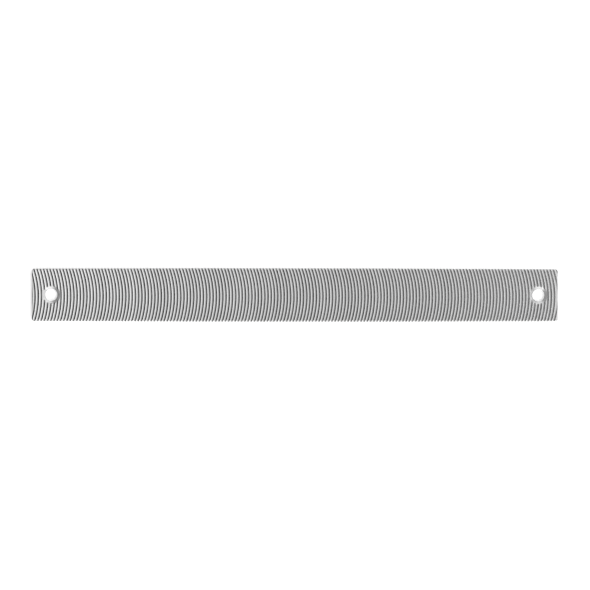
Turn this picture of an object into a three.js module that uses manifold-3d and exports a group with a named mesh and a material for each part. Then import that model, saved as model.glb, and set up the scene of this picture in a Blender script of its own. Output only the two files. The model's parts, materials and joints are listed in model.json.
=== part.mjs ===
// A flat rasp blade with curved, milled teeth on both faces: one piece of hardened steel, held by two
// countersunk screws in a separate handle or holder.
//
// Sizes are in millimetres. +X runs along the blade, the way its tooth arcs bulge, +Y across it and
// +Z up. The origin is the middle of the underside, level with the cutting edges there.

import * as THREE from 'three';
import { mergeVertices } from 'three/addons/utils/BufferGeometryUtils.js';
import Module from 'manifold-3d';

// Blade
const bladeLength = 350;
const bladeWidth = 35.5; // along the middle
const bladeThickness = 4; // over the cutting edges of both faces
const taper = 0.4; // how far each long edge is drawn in at both ends
const taperStart = 60; // from the middle of the blade, where its long edges start to draw in
const cornerRadius = 1.5; // of the outline, seen from above
const cornerSegments = 4;

// Teeth
const toothPitch = 2.147; // very nearly twelve to the inch
const toothDepth = 0.75;
const landWidth = 0.2; // the flat top just behind a cutting edge
const rakeLean = 0.12; // how far the foot of a tooth's front stands ahead of its cutting edge
const firstEdge = 0.47; // from the left end of the blade to the first cutting edge, at its crown

// Each cutting edge is an arc that bulges towards +X, furthest at its crown. The edge faces -X, so it
// cuts on the hollow side of its arc.
const arcRadius = 56.3;
const arcCrownY = -1.1;
const arcSegments = 4;

// Screw holes, countersunk from both faces so that the blade can be turned over
const holeRadius = 4;
const holeInset = 12.8; // from the end of the blade to the hole's axis
const countersinkRadius = 6.4;
const countersinkDepth = 1.9;
const holeSegments = 40;

// Solids that cut or trim the blade run this far past it
const overlap = 1;

const wasm = await Module();
wasm.setup();

// A closed geometry as a solid that can be joined and cut
function solidFrom(geometry) {
  geometry.deleteAttribute('normal');
  geometry.deleteAttribute('uv');
  const merged = mergeVertices(geometry);
  const corners = merged.index.array;
  const triangles = [];
  for (let first = 0; first < corners.length; first += 3) {
    const [a, b, c] = corners.slice(first, first + 3);
    const hasArea = a !== b && b !== c && c !== a;
    if (hasArea) triangles.push(a, b, c);
  }
  const vertProperties = merged.attributes.position.array;
  const triVerts = new Uint32Array(triangles);
  return new wasm.Manifold(new wasm.Mesh({ numProp: 3, vertProperties, triVerts }));
}

function geometryFrom(solid) {
  const { vertProperties, triVerts } = solid.getMesh();
  const geometry = new THREE.BufferGeometry();
  geometry.setAttribute('position', new THREE.BufferAttribute(vertProperties, 3));
  geometry.setIndex(new THREE.BufferAttribute(triVerts, 1));
  return geometry;
}

// How far an arc falls back from its crown at a place across the blade
function fallBack(y) {
  const offset = y - arcCrownY;
  return arcRadius - Math.sqrt(arcRadius ** 2 - offset ** 2);
}

// The row of teeth of the upper face, seen from the side: each tooth rises from its foot up a steep
// front to the cutting edge, runs level along its land, and falls along a straight back to the next foot
function upperTeeth(halfWidth) {
  const start = -bladeLength / 2 + firstEdge - toothPitch;
  const reach = bladeLength + fallBack(halfWidth) + overlap;
  const toothCount = Math.ceil(reach / toothPitch) + 1;
  const points = [];
  for (let tooth = 0; tooth < toothCount; tooth++) {
    const edge = start + tooth * toothPitch;
    points.push(new THREE.Vector2(edge - rakeLean, bladeThickness - toothDepth));
    points.push(new THREE.Vector2(edge, bladeThickness));
    points.push(new THREE.Vector2(edge + landWidth, bladeThickness));
  }
  return points;
}

// A slab with teeth above and below, larger all round than the blade: the side view drawn across the
// blade, then bent so that every tooth follows its arc
function toothedSlab() {
  const halfWidth = bladeWidth / 2 + overlap;
  const upper = upperTeeth(halfWidth);
  const lower = upper.map(({ x, y: height }) => new THREE.Vector2(x, bladeThickness - height));
  const sideView = new THREE.Shape([...upper, ...lower.reverse()]);
  const geometry = new THREE.ExtrudeGeometry(sideView, {
    depth: 2 * halfWidth,
    steps: arcSegments,
    bevelEnabled: false,
  });
  geometry.rotateX(Math.PI / 2);
  geometry.translate(0, halfWidth, 0);
  const { position } = geometry.attributes;
  for (let i = 0; i < position.count; i++) {
    position.setX(i, position.getX(i) - fallBack(position.getY(i)));
  }
  return solidFrom(geometry);
}

// The blade's outline with its tapers and round corners, as a block a little thicker than the blade
function outlineBlock() {
  const cornerX = bladeLength / 2 - cornerRadius;
  const cornerY = bladeWidth / 2 - taper - cornerRadius;
  const outline = new THREE.Shape();
  outline.absarc(cornerX, cornerY, cornerRadius, 0, Math.PI / 2);
  outline.lineTo(taperStart, bladeWidth / 2);
  outline.lineTo(-taperStart, bladeWidth / 2);
  outline.absarc(-cornerX, cornerY, cornerRadius, Math.PI / 2, Math.PI);
  outline.absarc(-cornerX, -cornerY, cornerRadius, Math.PI, 1.5 * Math.PI);
  outline.lineTo(-taperStart, -bladeWidth / 2);
  outline.lineTo(taperStart, -bladeWidth / 2);
  outline.absarc(cornerX, -cornerY, cornerRadius, 1.5 * Math.PI, 2 * Math.PI);
  const geometry = new THREE.ExtrudeGeometry(outline, {
    depth: bladeThickness + 2 * overlap,
    curveSegments: cornerSegments,
    bevelEnabled: false,
  });
  geometry.translate(0, 0, -overlap);
  return solidFrom(geometry);
}

// The space of one screw hole: a straight bore that widens into a cone at both faces
function holeSpace(x) {
  const mouth = countersinkRadius + overlap * (countersinkRadius - holeRadius) / countersinkDepth;
  const profile = [
    new THREE.Vector2(0, -overlap),
    new THREE.Vector2(mouth, -overlap),
    new THREE.Vector2(holeRadius, countersinkDepth),
    new THREE.Vector2(holeRadius, bladeThickness - countersinkDepth),
    new THREE.Vector2(mouth, bladeThickness + overlap),
    new THREE.Vector2(0, bladeThickness + overlap),
  ];
  const geometry = new THREE.LatheGeometry(profile, holeSegments);
  geometry.rotateX(Math.PI / 2);
  geometry.translate(x, 0, 0);
  return solidFrom(geometry);
}

function blade() {
  const holeX = bladeLength / 2 - holeInset;
  const solid = toothedSlab()
    .intersect(outlineBlock())
    .subtract(holeSpace(-holeX))
    .subtract(holeSpace(holeX));
  const steel = new THREE.MeshStandardMaterial({ color: 0xa6a6a4, roughness: 0.34, metalness: 1 });
  const mesh = new THREE.Mesh(geometryFrom(solid), steel);
  mesh.name = 'blade';
  return mesh;
}

const raspBlade = new THREE.Group();
raspBlade.add(blade());

export default raspBlade;
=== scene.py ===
import json
import math
import random

import bmesh
import bpy
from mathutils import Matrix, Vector


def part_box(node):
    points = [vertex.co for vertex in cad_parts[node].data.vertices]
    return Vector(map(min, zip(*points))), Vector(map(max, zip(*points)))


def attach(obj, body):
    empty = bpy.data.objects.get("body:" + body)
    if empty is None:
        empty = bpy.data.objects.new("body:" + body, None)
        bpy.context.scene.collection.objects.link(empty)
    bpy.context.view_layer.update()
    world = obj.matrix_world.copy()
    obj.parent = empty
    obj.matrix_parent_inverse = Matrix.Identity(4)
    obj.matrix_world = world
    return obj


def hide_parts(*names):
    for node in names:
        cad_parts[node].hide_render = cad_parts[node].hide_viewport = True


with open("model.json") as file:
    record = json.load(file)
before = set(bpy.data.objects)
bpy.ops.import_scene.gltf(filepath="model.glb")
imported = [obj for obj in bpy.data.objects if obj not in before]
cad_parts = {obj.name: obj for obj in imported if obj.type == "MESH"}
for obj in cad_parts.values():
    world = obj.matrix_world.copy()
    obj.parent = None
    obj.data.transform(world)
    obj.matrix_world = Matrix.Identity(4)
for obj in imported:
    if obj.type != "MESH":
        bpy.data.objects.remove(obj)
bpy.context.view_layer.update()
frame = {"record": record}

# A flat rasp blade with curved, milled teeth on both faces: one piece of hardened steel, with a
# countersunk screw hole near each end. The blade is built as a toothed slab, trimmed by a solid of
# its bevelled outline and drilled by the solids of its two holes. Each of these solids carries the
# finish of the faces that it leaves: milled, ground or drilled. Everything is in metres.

blade_low, blade_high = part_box("blade")

MM = 0.001
LENGTH = blade_high.x - blade_low.x
WIDTH = blade_high.y - blade_low.y
THICKNESS = blade_high.z - blade_low.z
MID_X = (blade_low.x + blade_high.x) / 2
MID_Y = (blade_low.y + blade_high.y) / 2
MID_Z = (blade_low.z + blade_high.z) / 2

# The outline: straight along the middle, drawn in a little towards both ends
TAPER = 0.4 * MM
TAPER_START = 60 * MM
CORNER_RADIUS = 1.5 * MM
CORNER_STEPS = 8

# The bevel round both faces
BEVEL_WIDTH = 1.0 * MM
BEVEL_DEPTH = 0.4 * MM
BEVEL_ROUNDING = 0.2 * MM
ROUNDING_STEPS = 3
BEVEL_OVERLAP = 0.25 * MM  # how far the bevels run past both faces

# Teeth: a cutting edge with a narrow land behind it, a steep front and a rounded gullet before it
PITCH = 2.147 * MM
DEPTH = 0.75 * MM
LAND = 0.16 * MM
GULLET_RADIUS = 0.35 * MM
RAKE_LEAN = math.radians(8)
FIRST_EDGE = 0.47 * MM
GULLET_STEPS = 8
BACK_KNEE = 0.15  # where the back has an extra row of points, as a share of its run from the foot
SPARE_TEETH = 2  # past each end of the blade

# Small differences from tooth to tooth, as the cutter leaves them
TOOTH_SEED = 11
EDGE_DROP = 0.02 * MM
EDGE_SHIFT = 0.015 * MM
DEPTH_CHANGE = 0.03 * MM

# The cutting edges are arcs that bulge forward, furthest at their crown
ARC_RADIUS = 56.3 * MM
ARC_CROWN_Y = -1.1 * MM
ARC_STEPS = 20

# Screw holes, which stand at the middles of the openings that the record states
HOLE_RADIUS = 4.0 * MM
COUNTERSINK_RADIUS = 6.4 * MM
COUNTERSINK_DEPTH = 1.9 * MM
HOLE_STEPS = 96
HOLES = {}
for opening in frame["record"]["physics"]["openings"]:
    low, high = (Vector(corner) for corner in opening["box_m"])
    HOLES[opening["name"]] = ((low.x + high.x) / 2, (low.y + high.y) / 2)
HOLE_REACH = max(abs(x - MID_X) for x, y in HOLES.values())  # from the middle of the blade

# Solids that trim the blade run this far past it
OVERLAP = 1.0 * MM

WELD_DISTANCE = 0.004 * MM  # corners closer than this are joined
SHARP_ANGLE = math.radians(20)  # faces that meet at more than this stay crisp


# ---------------------------------------------------------------- node helpers

class Nodes:
    """Short calls for wiring a material's node tree."""

    def __init__(self, name):
        self.material = bpy.data.materials.new(name)
        self.material.use_nodes = True
        self.tree = self.material.node_tree
        self.shader = self.tree.nodes["Principled BSDF"]

    def feed(self, socket, value):
        if isinstance(value, bpy.types.NodeSocket):
            self.tree.links.new(value, socket)
        else:
            socket.default_value = value

    def math(self, operation, first, second=0.0, clamp=False):
        node = self.tree.nodes.new("ShaderNodeMath")
        node.operation = operation
        node.use_clamp = clamp
        self.feed(node.inputs[0], first)
        self.feed(node.inputs[1], second)
        return node.outputs[0]

    def place(self):
        """The object's own x, y and z, in metres."""
        coordinates = self.tree.nodes.new("ShaderNodeTexCoord")
        split = self.tree.nodes.new("ShaderNodeSeparateXYZ")
        self.feed(split.inputs[0], coordinates.outputs["Object"])
        return split.outputs

    def vector(self, x, y, z):
        node = self.tree.nodes.new("ShaderNodeCombineXYZ")
        for socket, value in zip(node.inputs, (x, y, z)):
            self.feed(socket, value)
        return node.outputs[0]

    def noise(self, vector, scale=1.0, detail=2.0, roughness=0.5):
        node = self.tree.nodes.new("ShaderNodeTexNoise")
        self.feed(node.inputs["Vector"], vector)
        node.inputs["Scale"].default_value = scale
        node.inputs["Detail"].default_value = detail
        node.inputs["Roughness"].default_value = roughness
        return node.outputs["Fac"]

    def remap(self, value, low, high, to_low, to_high):
        node = self.tree.nodes.new("ShaderNodeMapRange")
        self.feed(node.inputs["Value"], value)
        limits = {"From Min": low, "From Max": high, "To Min": to_low, "To Max": to_high}
        for name, number in limits.items():
            self.feed(node.inputs[name], number)
        return node.outputs["Result"]

    def blend(self, factor, first, second):
        node = self.tree.nodes.new("ShaderNodeMix")
        node.data_type = "RGBA"
        self.feed(node.inputs["Factor"], factor)
        self.feed(node.inputs["A"], first)
        self.feed(node.inputs["B"], second)
        return node.outputs["Result"]

    def bump(self, height, strength, distance):
        node = self.tree.nodes.new("ShaderNodeBump")
        node.inputs["Strength"].default_value = strength
        node.inputs["Distance"].default_value = distance
        self.feed(node.inputs["Height"], height)
        return node.outputs["Normal"]

    def set(self, name, value):
        self.feed(self.shader.inputs[name], value)


def grey(level):
    return (level, level, level, 1)


# ---------------------------------------------------------------- materials

# Greys of the bare steel: each finish varies between two of them
MILLED_GREYS = grey(0.56), grey(0.66)
GROUND_GREYS = grey(0.5), grey(0.6)
DRILLED_GREYS = grey(0.54), grey(0.64)
TOOTH_GREY = grey(0.6)  # single teeth lean towards it
TOOTH_LEAN = 0.5  # how far they lean at most
LAND_GREY = grey(0.74)
REAR_GULLET_SHADE, FRONT_GULLET_SHADE = 0.03, 0.34  # painted shade in the gullets, darker towards the rear end

# Noise cycles per metre, across the marks of a tool and along them
FINE_MARKS = 9000.0
MILLED_RUN = 250.0
GRINDING_MARKS = 7000.0
GRINDING_RUN = 350.0
STAINS = 60.0
WALL_STAINS = 45.0
TOOTH_STEP = 7.31  # one tooth to the next, in noise cycles

# Noise stays mostly between these values
NOISE_LOW, NOISE_HIGH = 0.3, 0.7

# Roughness of each surface, the strength of its marks, and how deep a full stroke of them is
GULLET_ROUGHNESS, BACK_ROUGHNESS = 0.4, 0.3
LAND_POLISH = 0.1  # how much smoother the lands are than the backs
MILLED_UNEVENNESS = 0.16
GROUND_ROUGHNESS = 0.3, 0.46
DRILLED_ROUGHNESS = 0.24, 0.36
MILLED_MARKS, GROUND_MARKS, DRILLED_MARKS = 0.25, 0.3, 0.2
MARK_DEPTH = 0.02 * MM

GULLET_SHARE = 0.78  # the part of the teeth's depth over which the painted shade of the gullets fades upwards, and their roughness with it


def milled_steel():
    """Bright steel with the cutter's fine marks along the teeth, duller in the gullets, and with painted
    shade darkening the gullets.
    """
    nodes = Nodes("milled_steel")
    x, y, z = nodes.place()
    offset = nodes.math("SUBTRACT", y, ARC_CROWN_Y)
    chord_squared = nodes.math("SUBTRACT", ARC_RADIUS ** 2, nodes.math("POWER", offset, 2.0))
    chord = nodes.math("SQRT", chord_squared)
    along = nodes.math("SUBTRACT", nodes.math("ADD", x, ARC_RADIUS), chord)
    height = nodes.math("ABSOLUTE", nodes.math("SUBTRACT", z, MID_Z))

    across_marks = nodes.math("MULTIPLY", along, FINE_MARKS)
    along_marks = nodes.math("MULTIPLY", y, MILLED_RUN)
    marks = nodes.noise(nodes.vector(across_marks, along_marks, 0.0))
    stains = nodes.noise(nodes.vector(x, y, z), scale=STAINS, detail=4.0)
    past_first = nodes.math("SUBTRACT", along, blade_low.x + FIRST_EDGE)
    tooth = nodes.math("FLOOR", nodes.math("DIVIDE", past_first, PITCH))
    tooth_place = nodes.vector(nodes.math("MULTIPLY", tooth, TOOTH_STEP), 0.0, 0.0)
    tooth_tone = nodes.noise(tooth_place, detail=0.0)

    floor_height = THICKNESS / 2 - DEPTH
    land_height = THICKNESS / 2 - EDGE_DROP
    rise = nodes.remap(height, floor_height, floor_height + GULLET_SHARE * DEPTH, 0.0, 1.0)
    land = nodes.remap(height, land_height - EDGE_DROP / 2, land_height, 0.0, 1.0)

    back = nodes.blend(stains, *MILLED_GREYS)
    lean = nodes.remap(tooth_tone, NOISE_LOW, NOISE_HIGH, 0.0, TOOTH_LEAN)
    back = nodes.blend(lean, back, TOOTH_GREY)
    # Painted shade: the gullets' colour darkens towards their floors, and further towards the rear end
    gullet_painted_shade = nodes.remap(x, blade_low.x, blade_high.x, REAR_GULLET_SHADE, FRONT_GULLET_SHADE)
    metal = nodes.blend(rise, gullet_painted_shade, back)
    nodes.set("Base Color", nodes.blend(land, metal, LAND_GREY))

    roughness = nodes.remap(rise, 0.0, 1.0, GULLET_ROUGHNESS, BACK_ROUGHNESS)
    roughness = nodes.math("SUBTRACT", roughness, nodes.math("MULTIPLY", land, LAND_POLISH))
    uneven = nodes.math("MULTIPLY", nodes.math("SUBTRACT", marks, 0.5), MILLED_UNEVENNESS)
    nodes.set("Roughness", nodes.math("ADD", roughness, uneven, clamp=True))
    nodes.set("Metallic", 1.0)
    nodes.set("Normal", nodes.bump(marks, MILLED_MARKS, MARK_DEPTH))
    return nodes.material


def ground_steel():
    """The bevels and walls, with grinding marks that run lengthwise round the edge."""
    nodes = Nodes("ground_steel")
    x, y, z = nodes.place()
    along_marks = nodes.math("MULTIPLY", x, GRINDING_RUN)
    across_marks = [nodes.math("MULTIPLY", side, GRINDING_MARKS) for side in (y, z)]
    marks = nodes.noise(nodes.vector(along_marks, *across_marks), detail=3.0)
    stains = nodes.noise(nodes.vector(x, y, z), scale=WALL_STAINS, detail=3.0)
    nodes.set("Base Color", nodes.blend(stains, *GROUND_GREYS))
    nodes.set("Roughness", nodes.remap(marks, NOISE_LOW, NOISE_HIGH, *GROUND_ROUGHNESS))
    nodes.set("Metallic", 1.0)
    nodes.set("Normal", nodes.bump(marks, GROUND_MARKS, MARK_DEPTH))
    return nodes.material


def drilled_steel():
    """The screw holes, with the rings that the drill and the countersink leave."""
    nodes = Nodes("drilled_steel")
    x, y, z = nodes.place()
    from_middle = nodes.math("ABSOLUTE", nodes.math("SUBTRACT", x, MID_X))
    past_axis = nodes.math("SUBTRACT", from_middle, HOLE_REACH)
    squares = [nodes.math("POWER", side, 2.0) for side in (past_axis, y)]
    radius = nodes.math("SQRT", nodes.math("ADD", *squares))
    across_rings = [nodes.math("MULTIPLY", length, FINE_MARKS) for length in (radius, z)]
    rings = nodes.noise(nodes.vector(*across_rings, 0.0))
    nodes.set("Base Color", nodes.blend(rings, *DRILLED_GREYS))
    nodes.set("Roughness", nodes.remap(rings, NOISE_LOW, NOISE_HIGH, *DRILLED_ROUGHNESS))
    nodes.set("Metallic", 1.0)
    nodes.set("Normal", nodes.bump(rings, DRILLED_MARKS, MARK_DEPTH))
    return nodes.material


# ---------------------------------------------------------------- solids

def solid(name, vertices, faces, material):
    mesh = bpy.data.meshes.new(name)
    mesh.from_pydata(vertices, [], faces)
    mesh.materials.append(material)
    piece = bpy.data.objects.new(name, mesh)
    bpy.context.scene.collection.objects.link(piece)
    return piece


def closed_loft(rings):
    """Vertices and faces of the solid through a stack of rings of equal length, capped at both ends."""
    count = len(rings[0])
    vertices = [point for ring in rings for point in ring]
    faces = [tuple(reversed(range(count)))]
    for level in range(len(rings) - 1):
        start = level * count
        for i in range(count):
            j = (i + 1) % count
            faces.append((start + i, start + j, start + count + j, start + count + i))
    last = (len(rings) - 1) * count
    faces.append(tuple(range(last, last + count)))
    return vertices, faces


def fall_back(y):
    """How far a tooth's arc falls back from its crown at a place across the blade."""
    offset = y - ARC_CROWN_Y
    return ARC_RADIUS - math.sqrt(ARC_RADIUS ** 2 - offset ** 2)


def gullet(depth, span):
    """Side view of the gullet ahead of a cutting edge, as (ahead, height) points from the edge at
    (0, 0): down its front, round the floor and up the back of the tooth ahead to (span, 0)."""
    sink = depth - GULLET_RADIUS
    centre = (GULLET_RADIUS + sink * math.sin(RAKE_LEAN)) / math.cos(RAKE_LEAN)
    reach = span - centre
    back_slope = math.atan2(sink, reach) + math.asin(GULLET_RADIUS / math.hypot(reach, sink))
    start = math.pi + RAKE_LEAN
    stop = 1.5 * math.pi + back_slope
    points = [(0.0, 0.0)]
    for step in range(GULLET_STEPS + 1):
        angle = start + (stop - start) * step / GULLET_STEPS
        ahead = centre + GULLET_RADIUS * math.cos(angle)
        points.append((ahead, -sink + GULLET_RADIUS * math.sin(angle)))
    foot_ahead, foot_height = points[-1]
    points.append((foot_ahead + (span - foot_ahead) * BACK_KNEE, foot_height * (1 - BACK_KNEE)))
    points.append((span, 0.0))
    return points


def tooth_line():
    """Side view of all the teeth of the upper face, from left to right, as (x, height) points."""
    chance = random.Random(TOOTH_SEED)
    half_width = WIDTH / 2 + OVERLAP
    start = blade_low.x + FIRST_EDGE - SPARE_TEETH * PITCH
    reach = LENGTH + fall_back(half_width) + 2 * OVERLAP
    count = math.ceil(reach / PITCH) + SPARE_TEETH + 1
    edges = []
    for tooth in range(count):
        x = start + tooth * PITCH + chance.uniform(-EDGE_SHIFT, EDGE_SHIFT)
        drop = chance.uniform(0, EDGE_DROP)
        edges.append((x, blade_high.z - drop))
    line = []
    for (x, top), (next_x, next_top) in zip(edges, edges[1:]):
        depth = DEPTH - chance.uniform(0, DEPTH_CHANGE)
        span = next_x - LAND - x
        for ahead, height in reversed(gullet(depth, span)):
            share = ahead / span
            line.append((next_x - ahead, next_top + (top - next_top) * share + height))
    return line


def toothed_slab(material):
    """Teeth above and below, wider and longer than the blade, every tooth bent along its arc."""
    line = tooth_line()
    half_width = WIDTH / 2 + OVERLAP
    rows = [MID_Y + half_width - 2 * half_width * row / ARC_STEPS for row in range(ARC_STEPS + 1)]
    rings = []
    for y in rows:
        shift = fall_back(y)
        upper = [(x - shift, y, z) for x, z in line]
        lower = [(x, y, blade_low.z + blade_high.z - z) for x, y, z in upper]
        rings.append(lower + upper[::-1])
    vertices, faces = closed_loft(rings)
    faces = faces[1:-1]
    # In place of the two caps, each side wall is a row of strips from its lower line up to its upper one
    count = len(line)
    last = len(vertices) - 2 * count
    for i in range(count - 1):
        above = 2 * count - 1 - i
        faces.append((i, above, above - 1, i + 1))
        faces.append((last + i, last + i + 1, last + above - 1, last + above))
    return solid("blade_teeth", vertices, faces, material)


def bevel_section():
    """(inset, height) from the lower bevel up to the upper one, a little past both faces."""
    slope = BEVEL_WIDTH / BEVEL_DEPTH  # inset for each unit of height
    run = math.hypot(BEVEL_WIDTH, BEVEL_DEPTH)
    corner = Vector((0, BEVEL_DEPTH))
    on_bevel = corner + Vector((BEVEL_WIDTH, -BEVEL_DEPTH)) * (BEVEL_ROUNDING / run)
    on_wall = corner + Vector((0, BEVEL_ROUNDING))
    lower = [Vector((BEVEL_WIDTH + BEVEL_OVERLAP * slope, -BEVEL_OVERLAP))]
    for step in range(ROUNDING_STEPS + 1):
        t = step / ROUNDING_STEPS
        lower.append(on_bevel * (1 - t) ** 2 + corner * 2 * t * (1 - t) + on_wall * t ** 2)
    upper = [Vector((inset, THICKNESS - height)) for inset, height in reversed(lower)]
    return lower + upper


def outline_ring(inset, z):
    """The blade's outline with round corners, drawn in by an inset."""
    radius = CORNER_RADIUS - inset
    corner_x = LENGTH / 2 - CORNER_RADIUS
    corner_y = WIDTH / 2 - TAPER - CORNER_RADIUS
    ring = []
    for quarter, (side_x, side_y) in enumerate(((1, 1), (-1, 1), (-1, -1), (1, -1))):
        corner = []
        for step in range(CORNER_STEPS + 1):
            angle = (quarter + step / CORNER_STEPS) * math.pi / 2
            x = MID_X + side_x * corner_x + radius * math.cos(angle)
            y = MID_Y + side_y * corner_y + radius * math.sin(angle)
            corner.append((x, y, z))
        taper_start = (MID_X + side_x * TAPER_START, MID_Y + side_y * (WIDTH / 2 - inset), z)
        leads_in = side_x != side_y
        ring += [taper_start] + corner if leads_in else corner + [taper_start]
    return ring


def bevelled_outline(material):
    rings = [outline_ring(inset, blade_low.z + height) for inset, height in bevel_section()]
    return solid("blade_outline", *closed_loft(rings), material)


def hole_space(name, x, y, material):
    """A straight bore that widens into a cone at both faces."""
    mouth = COUNTERSINK_RADIUS + OVERLAP * (COUNTERSINK_RADIUS - HOLE_RADIUS) / COUNTERSINK_DEPTH
    section = (
        (mouth, blade_low.z - OVERLAP),
        (HOLE_RADIUS, blade_low.z + COUNTERSINK_DEPTH),
        (HOLE_RADIUS, blade_high.z - COUNTERSINK_DEPTH),
        (mouth, blade_high.z + OVERLAP),
    )
    rings = []
    for radius, z in section:
        angles = [2 * math.pi * step / HOLE_STEPS for step in range(HOLE_STEPS)]
        rings.append([(x + radius * math.cos(a), y + radius * math.sin(a), z) for a in angles])
    return solid(name, *closed_loft(rings), material)


def cut(piece, tool, operation):
    """Trims a piece with a tool solid, whose finish goes to the faces that it leaves."""
    modifier = piece.modifiers.new("cut", "BOOLEAN")
    modifier.operation = operation
    modifier.solver = "MANIFOLD"
    modifier.material_mode = "TRANSFER"
    modifier.object = tool
    graph = bpy.context.evaluated_depsgraph_get()
    result = bpy.data.meshes.new_from_object(piece.evaluated_get(graph))
    piece.modifiers.clear()
    piece.data = result
    bpy.data.objects.remove(tool)


def tidy_mesh(piece):
    """Joins corners that the cuts left almost in the same place, takes out those between only two
    faces, and splits every face of more than four corners into triangles."""
    mesh = bmesh.new()
    mesh.from_mesh(piece.data)
    bmesh.ops.remove_doubles(mesh, verts=mesh.verts, dist=WELD_DISTANCE)
    spare = [corner for corner in mesh.verts if len(corner.link_edges) == 2]
    bmesh.ops.dissolve_verts(mesh, verts=spare)
    many_sided = [face for face in mesh.faces if len(face.verts) > 4]
    bmesh.ops.triangulate(mesh, faces=many_sided, ngon_method="BEAUTY")
    mesh.to_mesh(piece.data)
    mesh.free()


def rasp_blade():
    milled = milled_steel()
    ground = ground_steel()
    drilled = drilled_steel()
    blade = toothed_slab(milled)
    cut(blade, bevelled_outline(ground), "INTERSECT")
    for opening, (x, y) in HOLES.items():
        cut(blade, hole_space(opening, x, y, drilled), "DIFFERENCE")
    tidy_mesh(blade)
    blade.name = "rasp_blade"
    blade.data.name = "rasp_blade"
    blade.data.shade_smooth()
    blade.data.set_sharp_from_angle(angle=SHARP_ANGLE)
    return blade


blade = rasp_blade()
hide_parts("blade")
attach(blade, "root")


# ---------------------------------------------------------------- studio

# The light all round: its strength at the sides and overhead, how much is added towards the
# right, and the elevations between which it fades
SIDE_GLOW = 0.5
OVERHEAD_GLOW = 0.02
RIGHT_GAIN = 0.8
SIDE_TOP = math.radians(42)
OVERHEAD_START = math.radians(62)

FLOOR_HALF = 4.0
FLOOR_GREY = grey(0.9)
FLOOR_ROUGHNESS = 0.7
FLOOR_GLOW = 0.4

# The camera, and the width that it sees at the blade
CAMERA_HEIGHT = 1200 * MM
CAMERA_X = MID_X - 20.7 * MM
AIM_X = MID_X - 0.3 * MM
CAMERA_ROLL = math.radians(0.06)
VIEW_WIDTH = 392.4 * MM


def studio_floor():
    """A pale light table, large enough to fill every view."""
    nodes = Nodes("pale_floor")
    nodes.set("Base Color", FLOOR_GREY)
    nodes.set("Roughness", FLOOR_ROUGHNESS)
    nodes.set("Emission Color", grey(1))
    nodes.set("Emission Strength", FLOOR_GLOW)
    corners = [(x * FLOOR_HALF, y * FLOOR_HALF, 0) for x, y in ((-1, -1), (1, -1), (1, 1), (-1, 1))]
    floor = solid("floor", corners, [(0, 1, 2, 3)], nodes.material)
    floor.location.z = blade_low.z


def soft_box(name, place, size, power, aim=(0, 0, 0)):
    light = bpy.data.lights.new(name, "AREA")
    light.shape = "RECTANGLE"
    light.size, light.size_y = size
    light.energy = power
    lamp = bpy.data.objects.new(name, light)
    lamp.location = place
    lamp.rotation_euler = (Vector(aim) - Vector(place)).to_track_quat("-Z", "Y").to_euler()
    bpy.context.scene.collection.objects.link(lamp)


def studio_world():
    """Soft light all round: bright at the sides, dim overhead, and stronger from the right."""
    world = bpy.data.worlds.new("studio")
    world.use_nodes = True
    tree = world.node_tree
    coordinates = tree.nodes.new("ShaderNodeTexCoord")
    split = tree.nodes.new("ShaderNodeSeparateXYZ")
    fade = tree.nodes.new("ShaderNodeMapRange")
    fade.interpolation_type = "SMOOTHSTEP"
    fade.inputs["From Min"].default_value = math.sin(SIDE_TOP)
    fade.inputs["From Max"].default_value = math.sin(OVERHEAD_START)
    fade.inputs["To Min"].default_value = SIDE_GLOW
    fade.inputs["To Max"].default_value = OVERHEAD_GLOW
    rightward = tree.nodes.new("ShaderNodeMath")
    rightward.operation = "MAXIMUM"
    rightward.inputs[1].default_value = 0.0
    glow = tree.nodes.new("ShaderNodeMath")
    glow.operation = "MULTIPLY_ADD"
    glow.inputs[1].default_value = RIGHT_GAIN
    background = tree.nodes["Background"]
    background.inputs["Color"].default_value = grey(1)
    tree.links.new(coordinates.outputs["Generated"], split.inputs[0])
    tree.links.new(split.outputs["Z"], fade.inputs["Value"])
    tree.links.new(split.outputs["X"], rightward.inputs[0])
    tree.links.new(rightward.outputs[0], glow.inputs[0])
    tree.links.new(fade.outputs["Result"], glow.inputs[2])
    tree.links.new(glow.outputs[0], background.inputs["Strength"])
    bpy.context.scene.world = world


def camera():
    """High above the blade, a little towards its rear end, so that its length fills most of the frame."""
    eye_place = Vector((CAMERA_X, MID_Y, CAMERA_HEIGHT))
    aim = Vector((AIM_X, MID_Y, blade_high.z))
    sight = aim - eye_place
    data = bpy.data.cameras.new("camera")
    data.lens = data.sensor_width * sight.length / VIEW_WIDTH
    eye = bpy.data.objects.new("camera", data)
    eye.location = eye_place
    eye.rotation_euler = (0, -math.atan2(sight.x, -sight.z), CAMERA_ROLL)
    bpy.context.scene.collection.objects.link(eye)
    bpy.context.scene.camera = eye


studio_floor()
studio_world()
# The front and back boxes light the bevels, and the low ones the walls of the countersinks
soft_box("right", place=(1.22, 0.0, 1.47), size=(2.2, 0.35), power=2.3)
soft_box("front", place=(0.0, -1.26, 1.19), size=(1.7, 1.16), power=14)
soft_box("back", place=(0.42, 1.19, 1.2), size=(1.8, 1.16), power=6.5)
soft_box("top", place=(0.75, 0.0, 1.7), size=(1.6, 0.4), power=5)
soft_box("low_front", place=(0.1, -1.45, 0.36), size=(2.2, 0.4), power=2.8, aim=(0.1, 0, 0))
soft_box("low_back", place=(0.1, 1.45, 0.36), size=(1.6, 0.4), power=1.6, aim=(0.1, 0, 0))
camera()
bpy.context.scene.view_settings.view_transform = "Standard"
